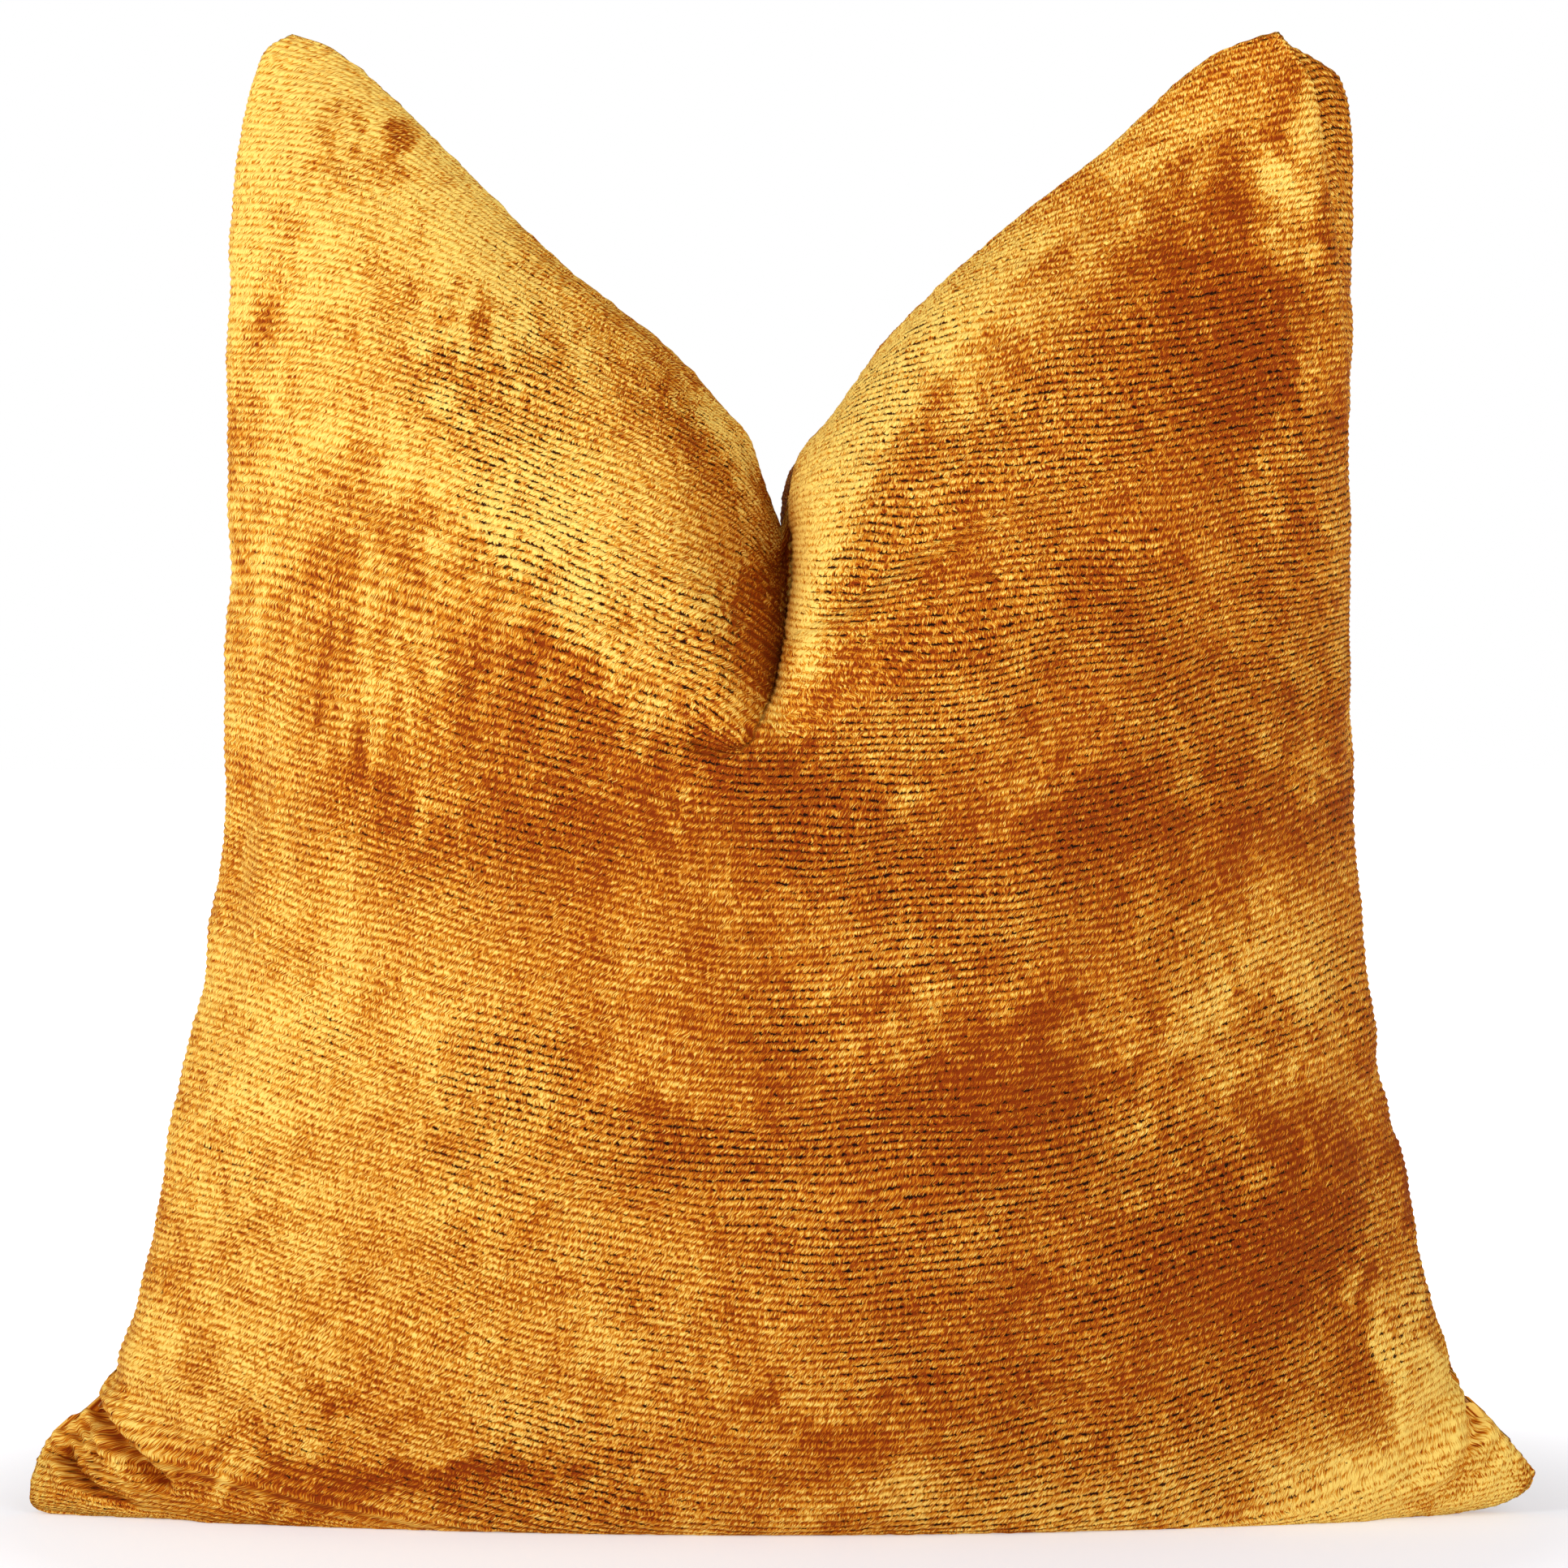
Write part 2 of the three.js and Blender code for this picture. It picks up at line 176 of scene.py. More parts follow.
# ---------------------------------------------------------------- the pile's painted sheen, light and shade, and the material
PAINTED_SHEEN_MIDDLE = 0.475  # painted sheen: how lit the pile is on average
PAINTED_LIGHT_LEFT = 0.18  # painted light: how much more the pile is lit far to the left, and less far to the right
# The width over which that painted light from the left changes.
PAINTED_LIGHT_WIDE = 110.0
PATCH_GAIN = 0.34
FOLD_SHADE = 0.07  # painted shade in folds: darkening for each millimetre of a fold's depth
GAPS_OPEN = 0.85  # how open the gaps between the rows are, from 0 to 1

STRAND_SLANT = 1.7  # how far a tuft leans along its row, from one row to the next
# Grains of the material's noises: how many there are to a millimetre along a row, and to one row.
TUFTS = (1.4, 1.1, 1)
STRANDS = (3.2, 1.7, 1)
CLUMPS = (0.22, 0.45, 1)
DASHES = (0.42, 0.9, 1)
# The velvet's gold, from its painted shaded side to its painted lit, sheened side.
VELVET_SHADED_TO_LIT = [
    (0.0, (134, 48, 0)), (0.3, (186, 94, 8)), (0.6, (220, 148, 36)), (1.0, (255, 216, 110)),
]
# The dark backing between the rows of pile, together with painted shade in the gaps.
GAP_BACKING_AND_SHADE = (60, 34, 16)


# ================================================================ small maths
def smooth(x, low, high):
    t = np.clip((x - low) / (high - low), 0.0, 1.0)
    return t * t * (3 - 2 * t)


def mix(a, b, t):
    return a + (b - a) * t


def bell(t):
    return np.exp(-(t**2))


def spot(x, z, middle, half):
    """1 at a place, fading to 0 on all sides of it over the two half sizes."""
    return np.exp(-(((x - middle[0]) / half[0]) ** 2) - ((z - middle[1]) / half[1]) ** 2)


def crowded_to_ends(count):
    """Shares from 0 to 1 that lie closer together towards both ends."""
    return (1 - np.cos(np.linspace(0, math.pi, count))) / 2


class Line:
    """A smooth line through a few points, by the share of its length from 0 to 1."""

    def __init__(self, points, steps=24):
        p = np.array(points, float)
        p = np.vstack([2 * p[0] - p[1], p, 2 * p[-1] - p[-2]])
        t = np.linspace(0, 1, steps, endpoint=False)[:, None]
        runs = []
        for a, b, c, d in zip(p, p[1:], p[2:], p[3:]):
            cubic = 2 * a - 5 * b + 4 * c - d
            runs.append(b + 0.5 * ((c - a) * t + cubic * t**2 + (3 * (b - c) + d - a) * t**3))
        self.line = np.vstack(runs + [p[-2:-1]])
        travel = np.hypot(*np.diff(self.line, axis=0).T).cumsum()
        self.share = np.concatenate([[0.0], travel / travel[-1]])

    def at(self, share):
        x = np.interp(share, self.share, self.line[:, 0])
        return x, np.interp(share, self.share, self.line[:, 1])


def spline_weights(count, knots):
    """Cubic B-spline weights that turn `knots` values into `count` smooth ones."""
    at = np.linspace(0, knots - 3, count)
    first = np.minimum(at.astype(int), knots - 4)
    t = at - first
    weights = np.zeros((count, knots))
    shape = [(1 - t) ** 3, 3 * t**3 - 6 * t**2 + 4, -3 * t**3 + 3 * t**2 + 3 * t + 1, t**3]
    for k, share in enumerate(shape):
        weights[np.arange(count), first + k] = share / 6
    return weights


def field(shape, grain, seed):
    """Smooth random values of spread about 1 over a panel's grid.

    grain is the length of one lump up the fabric and along it.
    """
    knots = [int(round(s / g)) + 4 for s, g in zip(CLOTH, grain)]
    values = np.random.default_rng(seed).normal(size=knots)
    up, along = (spline_weights(n, k) for n, k in zip(shape, knots))
    return up @ values @ along.T * 2.1


def softened(values, width, axis):
    """A moving average with a bell-shaped window, with the ends held."""
    reach = int(3 * width)
    window = np.exp(-0.5 * (np.arange(-reach, reach + 1) / width) ** 2)
    window /= window.sum()
    pad = [(0, 0)] * values.ndim
    pad[axis] = (reach, reach)
    padded = np.pad(values, pad, mode="edge")
    return np.apply_along_axis(lambda run: np.convolve(run, window, mode="valid"), axis, padded)


def near_line(x, z, points):
    """Distance from each place to a broken line."""
    best = np.full(np.shape(x), 1e9)
    for (ax, az), (bx, bz) in zip(points, points[1:]):
        run_x, run_z = bx - ax, bz - az
        t = np.clip(((x - ax) * run_x + (z - az) * run_z) / (run_x**2 + run_z**2), 0, 1)
        best = np.minimum(best, np.hypot(x - ax - t * run_x, z - az - t * run_z))
    return best


# ================================================================ the form of a panel
LEFT, RIGHT, BOTTOM = Line(LEFT_SEAM), Line(RIGHT_SEAM), Line(BOTTOM_SEAM)
LEFT_TOP, RIGHT_TOP = Line(LEFT_TOP_SEAM), Line(RIGHT_TOP_SEAM)


def drawn(place):
    """The x and z of places, in the millimetres that the seams are drawn in."""
    return place[..., 0] / FIT_X, place[..., 2] / FIT_Z


def inward(place):
    """Steps of length 1 towards the middle of the pillow, in the plane of the seam."""
    step = np.array([0.0, 0.0, MIDDLE_Z]) - place
    step[..., 1] = 0
    return step / np.linalg.norm(step, axis=2, keepdims=True)


def seam_plane_place(u, v):
    """Where a point of a panel lies in the plane of the seam, before the floor presses on it."""
    left, right, bottom = LEFT.at(v), RIGHT.at(v), BOTTOM.at(u)
    top_l, top_r = LEFT_TOP.at(u * 2), RIGHT_TOP.at(u * 2 - 1)
    across = np.abs(2 * u - 1)
    lift = v ** mix(DIP_MIDDLE, DIP_SIDE, across**2)
    place = []
    for k in range(2):
        low = mix(LEFT_SEAM[0][k], RIGHT_SEAM[0][k], u)
        high = mix(LEFT_SEAM[-1][k], RIGHT_SEAM[-1][k], u)
        top = np.where(u < 0.5, top_l[k], top_r[k])
        side = mix(left[k], right[k], u)
        place.append(side + (1 - lift) * (bottom[k] - low) + lift * (top - high))
    hang = SAG * (1 - across**2) ** 0.9 * (1 - smooth(v, 0.1, 0.8))
    return place[0], place[1] - hang


def bulge(a):
    return np.maximum(0.0, 1 - np.abs(a) ** ROUNDING) ** FULLNESS


def off_crease(x, z):
    """How far a place lies to the right of the crease."""
    points = np.array(CREASE, float)
    return x - np.interp(z, points[:, 1], points[:, 0])


def crease(x, z):
    """How much of the depth the crease takes, and how far the right wall rolls over it."""
    open_up = smooth(z, CREASE_END, CREASE_TOP)
    off = off_crease(x, z)
    left = np.clip(-off / mix(*CREASE_LEFT, open_up), 0, 1)
    right = np.clip(off / mix(*CREASE_RIGHT, open_up), 0, 1)
    slope = 1 - smooth(left, -0.25, 1.0)
    wall = 1 - np.clip(1 - (1 - right) ** 2.2, 0, 1) ** (1 / 2.2)
    taken = np.where(off < 0, slope / (1 - smooth(0, -0.25, 1.0)), wall)
    strength = open_up**0.7 * smooth(z, CREASE_END, CREASE_END + 12)
    over = HUMP_OVER * strength * smooth(z, 252, 285) * bell((off - 5) / 8)
    return taken * strength, over


def form(u, v, side, chopped=True):
    """The outer face of a panel at rest, without its pile. side is -1 for the front."""
    x, z = seam_plane_place(u, v)
    up = np.where(v < BELLY_HEIGHT, v / BELLY_HEIGHT - 1, (v - BELLY_HEIGHT) / (1 - BELLY_HEIGHT))
    out = BELLY * bulge(2 * u - 1) * bulge(up)
    if chopped:
        taken, over = crease(x, z)
        out = out * (1 - taken)
        x = x - over
    over_zip = (1 - smooth(np.abs(x), ZIP_HALF, ZIP_HALF + ZIP_FADE)) * (1 - smooth(v, 0.06, 0.12))
    out = out + LIP_Y * over_zip * (1 - smooth(v, 0, 0.08))
    from_right = 1 - u
    turn = EAR_TURN * smooth(v, 0.6, 0.82) * np.exp(-from_right / 0.1)
    if side > 0:  # it swells beyond the seam, and comes back to it at the tip of the ear
        swell = EAR_BULGE * smooth(v, 0.62, 0.96) * (1 - smooth(v, 0.965, 1.0))
        x = x + swell * from_right / 0.03 * np.exp(1 - from_right / 0.03)
    z = FLOOR_SOFT * np.logaddexp(0, z / FLOOR_SOFT)
    z = np.maximum(z, LIP_Z * over_zip * (1 - smooth(out, LIP_Y, LIP_Y + LIP_FADE)))
    return np.stack([x * FIT_X, side * out - turn, z * FIT_Z], axis=-1)


def travelled(place, axis):
    """Share of the way along a grid's lines, from 0 to 1, measured in the fabric."""
    step = np.linalg.norm(np.diff(place, axis=axis), axis=2)
    travel = np.insert(step.cumsum(axis=axis), 0, 0.0, axis=axis)
    return travel / np.take(travel, [-1], axis=axis)


def fabric_grid(side, rows, columns):
    """The (u, v) of a grid's points, spaced evenly over the fabric."""
    crowded = crowded_to_ends(801)
    measured_at = np.array([[0.15], [0.3], [0.7], [0.85]])
    place = form(measured_at, crowded[None, :], side, chopped=False)
    share = travelled(place, 1).mean(axis=0)
    v = np.interp(np.linspace(0, 1, rows), share, crowded)[:, None]
    share = travelled(form(crowded[None, :], v, side, chopped=False), 1)
    even = np.linspace(0, 1, columns)
    u = np.array([np.interp(even, line, crowded) for line in share])
    return np.clip(softened(u, 6.0, 0), 0, 1), np.repeat(v, columns, axis=1)


def grid_normals(place, side):
    along = np.gradient(place, axis=1)
    up = np.gradient(place, axis=0)
    normal = np.cross(along, up) * (-side)
    return normal / np.maximum(np.linalg.norm(normal, axis=2, keepdims=True), 1e-9)


def edge_distance(place):
    """Distance in the fabric from the nearest seam."""
    up = np.linalg.norm(np.diff(place, axis=0), axis=2)
    along = np.linalg.norm(np.diff(place, axis=1), axis=2)
    low = np.insert(up.cumsum(axis=0), 0, 0.0, axis=0)
    left = np.insert(along.cumsum(axis=1), 0, 0.0, axis=1)
    return np.minimum.reduce([low, low[-1] - low, left, left[:, -1:] - left])


# ================================================================ the pile's painted sheen, light and shade
# Light and dark areas of the brushed pile, painted as sheen and shade: place, half sizes, turn in
# degrees, value.
FRONT_SHEEN_AND_SHADE = [
    (-154, 440, 50, 66, 0, 1.2), (-98, 409, 56, 18, -43, 1.4), (-167, 334, 22, 60, 0, 0.5),
    (-97, 372, 34, 13, -20, -0.6), (-26, 348, 38, 11, -48, -0.7), (78, 8, 100, 12, 0, 0.9),
    (-59, 318, 50, 26, -35, 0.7), (-91, 344, 40, 22, -30, 0.7), (-167, 163, 30, 60, 0, 0.4),
    # (-125, 10) is painted shadow along the bottom, where the fabric faces down to the floor.
    (-175, 97, 30, 45, 0, 0.3), (-123, 176, 40, 30, 0, 0.2), (-125, 10, 78, 12, 0, -1.5),
    (16, 352, 20, 30, -15, 1.4), (50, 386, 46, 20, 37, 1.6), (166, 182, 30, 30, 20, 1.0),
    (118, 446, 46, 15, 37, 1.1), (172, 452, 11, 32, 0, 1.5), (176, 330, 9, 130, 0, 0.35),
    (220, 24, 42, 30, 0, 2.2), (180, 9, 50, 14, 0, 0.9), (207, 66, 9, 36, 10, 1.4),
    (-188, 44, 26, 22, 0, 0.2), (48, 176, 50, 24, 0, 0.3), (2, 49, 24, 14, 0, 0.4),
    (-28, 263, 14, 10, 30, 0.7), (-8, 300, 2.2, 17, 28, 1.3), (-16, 249, 15, 2.4, -8, 1.0),
    (120, 285, 66, 66, 0, 0.2), (-70, 205, 70, 22, 0, -0.5), (-30, 165, 50, 50, 0, -0.3),
    (45, 120, 66, 80, 0, -0.4), (-149, 432, 15, 14, 0, -1.6), (-70, 263, 55, 26, -8, -1.0),
    (-65, 228, 80, 16, 0, -0.8),
    (142, 380, 18, 36, 0, -0.9), (142, 350, 40, 60, 0, -0.3), (109, 225, 80, 20, 0, -0.9),
    (140, 268, 40, 30, 0, -0.3), (156, 92, 42, 34, 0, -1.0), (-38, 126, 26, 18, 0, -0.7),
    (70, 142, 50, 20, 0, -0.6), (9, 28, 46, 14, 0, -0.6), (-141, 297, 18, 26, 0, -0.5),
    (-172, 286, 8, 22, 0, -0.4), (-136, 228, 22, 20, 0, -0.6), (-175, 207, 10, 20, 0, -0.3),
    (-28, 365, 16, 8, -45, -0.5), (75, 285, 50, 26, 0, -0.2),
]
BACK_SHEEN_AND_SHADE = [
    (150, 440, 40, 50, 0, 0.7), (80, 350, 50, 30, 30, 0.8), (160, 160, 34, 60, 0, 0.6),
    (-40, 210, 70, 40, 0, 0.5), (-150, 90, 40, 40, 0, 0.6), (-120, 400, 34, 40, 0, 0.4),
    (20, 90, 60, 24, 0, 0.4), (-150, 300, 34, 70, 0, -0.8), (60, 250, 60, 30, 0, -0.8),
    (-60, 140, 50, 26, 0, -0.7), (120, 60, 46, 26, 0, -0.7), (0, 300, 30, 40, 0, -0.8),
    (-70, 40, 60, 18, 0, -0.5), (176, 320, 16, 60, 0, 0.5),
]


def painted_sheen_light_and_shade(place, off, side, patches, seed):
    """Painted sheen of the pile, with painted light from the left and painted light and shade at the
    crease: from 0, pile that leans away and looks dark, to 1, pile that shows its lit side.

    off is how far each place lies to the right of the crease.
    """
    shape = place.shape[:2]
    x, z = drawn(place)
    streaks = field(shape, (15, 3.4), seed)
    lumps = field(shape, (13, 10), seed + 1)
    specks = field(shape, (3.4, 2.6), seed + 2)
    clouds = field(shape, (34, 26), seed + 3)
    tatters = field(shape, (6, 7), seed + 4)
    brushed = spot(x, z, (-125, 262), (42, 44))
    ragged_x = 6 * lumps + 3 * specks + 7 * clouds
    ragged_z = 7 * streaks * brushed + 5 * tatters + 3 * specks + 5 * clouds
    # Painted light: brighter to the left, where the key lamp stands, and darker to the right.
    value = PAINTED_SHEEN_MIDDLE - PAINTED_LIGHT_LEFT * np.tanh(x / PAINTED_LIGHT_WIDE)
    for px, pz, half_x, half_z, turn, amount in patches:
        c, s = math.cos(math.radians(turn)), math.sin(math.radians(turn))
        dx, dz = x + ragged_x - px, z + ragged_z - pz
        r = ((c * dx + s * dz) / half_x) ** 2 + ((c * dz - s * dx) / half_z) ** 2
        value = value + PATCH_GAIN * amount * np.exp(-(r**1.3))
    # Painted highlight over the hump and painted shade on the left wall of the crease.
    if side < 0:
        value = value + painted_light_and_shade_at_crease(off, z, ragged_x)
    value = value + 0.12 * streaks * brushed + 0.05 * lumps + 0.04 * tatters
    return np.clip(value + 0.04 * specks + 0.02 * clouds, 0, 1)


def painted_light_and_shade_at_crease(off, z, ragged_x):
    """A painted highlight in the lit band over the right hump, and painted shade in the dark
    triangle on the left wall.
    """
    band_half = mix(4.5, 9, smooth(z, 255, 310))
    band = bell((off + 0.3 * ragged_x - 3) / band_half) * (off > -0.5)
    wide = 21 * smooth(z, 260, 292) * (1 - smooth(z, 302, 334))
    beyond = smooth(-off - 0.6 * ragged_x, wide - 5, wide + 4)
    wall = (1 - beyond) * smooth(wide, 1, 6) * (off <= -0.5)
    return 0.65 * smooth(z, 244, 296) * band - 0.45 * wall


def gap_openness(place, off, side, seed):
    """How far the gaps between the rows of pile stand open, from 0 to 1."""
    x, z = drawn(place)
    value = GAPS_OPEN + 0.22 * field(place.shape[:2], (20, 30), seed)
    if side < 0:
        value = value - 0.5 * smooth(-x, 70, 140) - 0.3 * smooth(z, 330, 430)
        value = value - 0.9 * spot(x, z, (215, 22), (34, 26))
        value = value - 0.9 * bell(off / 12) * smooth(z, 246, 262)
        value = value - 0.3 * spot(x, z, (-60, 330), (50, 30))
    return np.clip(value, 0.05, 1)


# ================================================================ building a panel
def row_rise(x, z):
    """How far the row of pile that passes the middle at height z stands above z, at x."""
    tables = [np.array(t, float).T for t in (ROW_RISE_LOW, ROW_RISE_HIGH)]
    low, high = (softly(x, xs, rises) for xs, rises in tables)
    left_of_crease = np.maximum(0, -off_crease(x, z))
    dive = bell(left_of_crease / 13) * (left_of_crease > 0)
    in_crease = smooth(z, 246, 262) * (1 - smooth(z, 318, 335))
    return mix(low, high, smooth(z, 215, 300)) - ROW_DIVE * dive * in_crease


def softly(x, xs, values):
    """Interpolation with its corners rounded off."""
    return sum(np.interp(x + shift, xs, values) for shift in (-14, -7, 0, 7, 14)) / 5


def middle_height(u, v):
    """The height at which the row of pile through a place passes the middle of the pillow."""
    x, z = seam_plane_place(u, v)
    height = z
    for _ in range(6):
        height = z - row_rise(x, height)
    return height


def row_count(u, v):
    """How many rows of pile there are below each place of a panel. Whole numbers are gaps.

    The rows are counted up the fabric at u = 0.3, which is clear of the chop.
    """
    line = crowded_to_ends(801)
    column = np.full_like(line, 0.3)
    place = form(column, line, -1, chopped=False)
    heights = middle_height(column, line)
    step = np.linalg.norm(np.diff(place, axis=0), axis=1)
    upright = heights[1:] > FACE_STARTS
    step = np.where(upright, np.minimum(step, FACE_STRETCH * np.diff(heights)), step)
    travel = np.insert(step.cumsum(), 0, 0.0)
    here = middle_height(u, v)
    beyond = FACE_STRETCH * (here - np.clip(here, heights[0], heights[-1]))
    return (np.interp(here, heights, travel) + beyond + curled_over(u, v)) / ROW_PITCH


def curled_over(u, v):
    """How much fabric has gone into the curl towards the top seam below each place."""
    place = form(u, v, -1, chopped=False)
    step = np.linalg.norm(np.diff(place, axis=0), axis=2)
    rise = np.abs(np.diff(place[..., 2], axis=0))
    curl = np.maximum(0, step - CURL_STARTS * rise) * smooth(v[1:], 0.75, 0.9)
    return np.insert(curl.cumsum(axis=0), 0, 0.0, axis=0)


def relief(place, edge, folds, seed, front):
    """Stuffing lumps, puckers at the seam and folds, as a distance along the normal."""
    shape = place.shape[:2]
    x, z = drawn(place)
    lumps = [far * field(shape, grain, seed + k) for k, (grain, far) in enumerate(STUFFING_LUMPS)]
    push = sum(lumps) * smooth(edge, 3, 30)
    puckers = field(shape, (9, 40), seed + 2) + field(shape, (40, 9), seed + 3)
    push = push + PUCKERS * puckers * smooth(edge, 1, 6) * (1 - smooth(edge, 10, 34))
    for points, depth, half_width in folds:
        far = near_line(x, z, points) / half_width
        push = push - depth * bell(far) + FOLD_SIDES * depth * bell(far - 2.1)
    if front:
        dimples = spot(x, z, (-168, 228), (20, 42)) * field(shape, (34, 9), seed + 4)
        crease_lip = spot(x, z, (-18, 246), (16, 5))
        push = push + 1.1 * dimples + 1.2 * crease_lip
    return push * smooth(place[..., 2], 1, 14)


def panel_surface(side, rows, columns, folds, patches, seed):
    """Places of one panel's fine grid, and the values that its material reads."""
    u, v = fabric_grid(side, rows, columns)
    shape = (rows, columns)
    place = form(u, v, side)
    normal = grid_normals(place, side)
    edge = edge_distance(place)
    place = place + normal * relief(place, edge, folds, seed + 11, side < 0)[..., None]
    normal = grid_normals(place, side)

    count = row_count(u, v) + ROW_WANDER / ROW_PITCH * field(shape, (16, 22), seed)
    crest = 0.5 - 0.5 * np.cos(2 * np.pi * count)
    pile = PILE_HEIGHT * (crest + TUFT_SHARE * field(shape, (2.6, 1.8), seed + 23))
    place = place + normal * pile[..., None]
    place = place + inward(place) * (SEAM_PULL * bell(edge / SEAM_REACH))[..., None]
    place[..., 2] = np.maximum(place[..., 2], 0.1)

    off = off_crease(*seam_plane_place(u, v))
    # Painted sheen, light and shade of the pile, kept as a point attribute that the material reads.
    painted_sheen_and_shade = painted_sheen_light_and_shade(place, off, side, patches, seed + 31)
    # Painted shade along the folds.
    for points, depth, half_width in folds:
        painted_sheen_and_shade = painted_sheen_and_shade - FOLD_SHADE * depth * bell(near_line(*drawn(place), points) / half_width)
    along = travelled(place, 1) * CLOTH[1]
    openness = gap_openness(place, off, side, seed + 41)
    cloth = np.stack([along, count, openness], axis=-1)
    return place, {"painted_sheen_and_shade": np.clip(painted_sheen_and_shade, 0, 1), "cloth": cloth}


def with_hem(place, values, side):
    """Adds the fabric that turns in behind the seam, so that no raw edge shows."""
    count = len(HEM)
    pad = ((count, count), (count, count), (0, 0))
    wide = np.pad(place, pad, mode="edge")
    rows, columns = wide.shape[:2]
    row_out = np.maximum(count - np.arange(rows), np.arange(rows) - (rows - 1 - count))
    col_out = np.maximum(count - np.arange(columns), np.arange(columns) - (columns - 1 - count))
    out = np.maximum(row_out[:, None], col_out[None, :])
    reach = np.interp(out, np.arange(count + 1), [0.0] + HEM)
    wide = wide + inward(wide) * reach[..., None]
    wide[..., 1] += side * 0.3 * (out > 0)
    padded = {}
    for name, value in values.items():
        padded[name] = np.pad(value, pad if value.ndim == 3 else pad[:2], mode="edge")
    return wide, padded


def grid_object(name, place, values, flip):
    """One mesh from a grid of places in millimetres, with its values as point attributes."""
    rows, columns = place.shape[:2]
    index = np.arange(rows * columns).reshape(rows, columns)
    a, b, c, d = index[:-1, :-1], index[:-1, 1:], index[1:, 1:], index[1:, :-1]
    order = [a, d, c, b] if flip else [a, b, c, d]
    corners = np.stack([k.ravel() for k in order], axis=1)
    mesh = bpy.data.meshes.new(name)
    mesh.vertices.add(rows * columns)
    mesh.vertices.foreach_set("co", (place.reshape(-1, 3) * MM).astype(np.float32).ravel())
    mesh.loops.add(corners.size)
    mesh.loops.foreach_set("vertex_index", corners.ravel().astype(np.int32))
    mesh.polygons.add(len(corners))
    mesh.polygons.foreach_set("loop_start", np.arange(0, corners.size, 4, dtype=np.int32))
    mesh.polygons.foreach_set("use_smooth", np.ones(len(corners), bool))
    mesh.update(calc_edges=True)
    for key, value in values.items():
        kind, field_name = ("FLOAT_VECTOR", "vector") if value.ndim == 3 else ("FLOAT", "value")
        attribute = mesh.attributes.new(key, kind, "POINT")
        attribute.data.foreach_set(field_name, value.astype(np.float32).ravel())
    obj = bpy.data.objects.new(name, mesh)
    bpy.context.scene.collection.objects.link(obj)
    return obj


def cover_panel(name, side, rows, columns, folds, patches, seed, material):
    """One velvet panel of the cover, in place of the CAD's plain one."""
    place, values = panel_surface(side, rows, columns, folds, patches, seed)
    place, values = with_hem(place, values, side)
    obj = grid_object(name + "_velvet", place, values, flip=side > 0)
    obj.data.materials.append(material)
    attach(obj, "pillow")
    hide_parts(name)


# ================================================================ materials
WAVE_REPEAT = 0.31  # metres from band to band in a Wave texture of scale 1


def srgb(r, g, b):
    """A colour on a 0 to 255 scale as the shaders take it."""
    return [((c / 255 + 0.055) / 1.055) ** 2.4 for c in (r, g, b)] + [1.0]


class Nodes:
    """A material's node tree, with short calls for the nodes that it uses."""

    def __init__(self, name):
        self.material = bpy.data.materials.new(name)
        self.material.use_nodes = True
        self.tree = self.material.node_tree
        self.shader = self.tree.nodes["Principled BSDF"]

    def node(self, kind, **settings):
        made = self.tree.nodes.new(kind)
        for key, value in settings.items():
            setattr(made, key, value)
        return made

    def link(self, source, target):
        self.tree.links.new(source, target)

    def feed(self, socket, value):
        if isinstance(value, bpy.types.NodeSocket):
            self.link(value, socket)
        else:
            socket.default_value = value

    def maths(self, operation, a, b=0.0):
        made = self.node("ShaderNodeMath", operation=operation)
        self.feed(made.inputs[0], a)
        self.feed(made.inputs[1], b)
        return made.outputs[0]

    def attribute(self, name, output="Fac"):
        return self.node("ShaderNodeAttribute", attribute_name=name).outputs[output]

    def place(self):
        return self.node("ShaderNodeTexCoord").outputs["Object"]

    def paint(self, colour):
        self.link(colour, self.shader.inputs["Base Color"])

    def set(self, name, value):
        self.shader.inputs[name].default_value = value

    def noise(self, vector, scale, detail=2.0, stretch=(1, 1, 1), rough=0.5):
        mapping = self.node("ShaderNodeMapping")
        mapping.inputs["Scale"].default_value = stretch
        self.link(vector, mapping.inputs["Vector"])
        made = self.node("ShaderNodeTexNoise")
        self.link(mapping.outputs[0], made.inputs["Vector"])
        made.inputs["Scale"].default_value = scale
        made.inputs["Detail"].default_value = detail
        made.inputs["Roughness"].default_value = rough
        return made.outputs["Fac"]

    def ramp(self, value, stops):
        made = self.node("ShaderNodeValToRGB")
        band = made.color_ramp
        band.elements[0].position, band.elements[0].color = stops[0]
        band.elements[1].position, band.elements[1].color = stops[-1]
        for place, colour in stops[1:-1]:
            band.elements.new(place).color = colour
        self.link(value, made.inputs["Fac"])
        return made.outputs["Color"]

    def blend(self, factor, a, b, mode="MIX"):
        """Mixes two colours. A Mix node keeps its colours in sockets 6, 7 and 2."""
        made = self.node("ShaderNodeMix", data_type="RGBA", blend_type=mode)
        self.feed(made.inputs["Factor"], factor)
        self.feed(made.inputs[6], a)
        self.feed(made.inputs[7], b)
        return made.outputs[2]

    def remap(self, value, low, high, to_low=0.0, to_high=1.0):
        made = self.node("ShaderNodeMapRange")
        self.link(value, made.inputs["Value"])
        ends = {"From Min": low, "From Max": high, "To Min": to_low, "To Max": to_high}
        for key, number in ends.items():
            made.inputs[key].default_value = number
        return made.outputs["Result"]

    def bump(self, height, distance, strength=1.0):
        made = self.node("ShaderNodeBump")
        made.inputs["Distance"].default_value = distance
        made.inputs["Strength"].default_value = strength
        self.link(height, made.inputs["Height"])
        self.link(made.outputs[0], self.shader.inputs["Normal"])


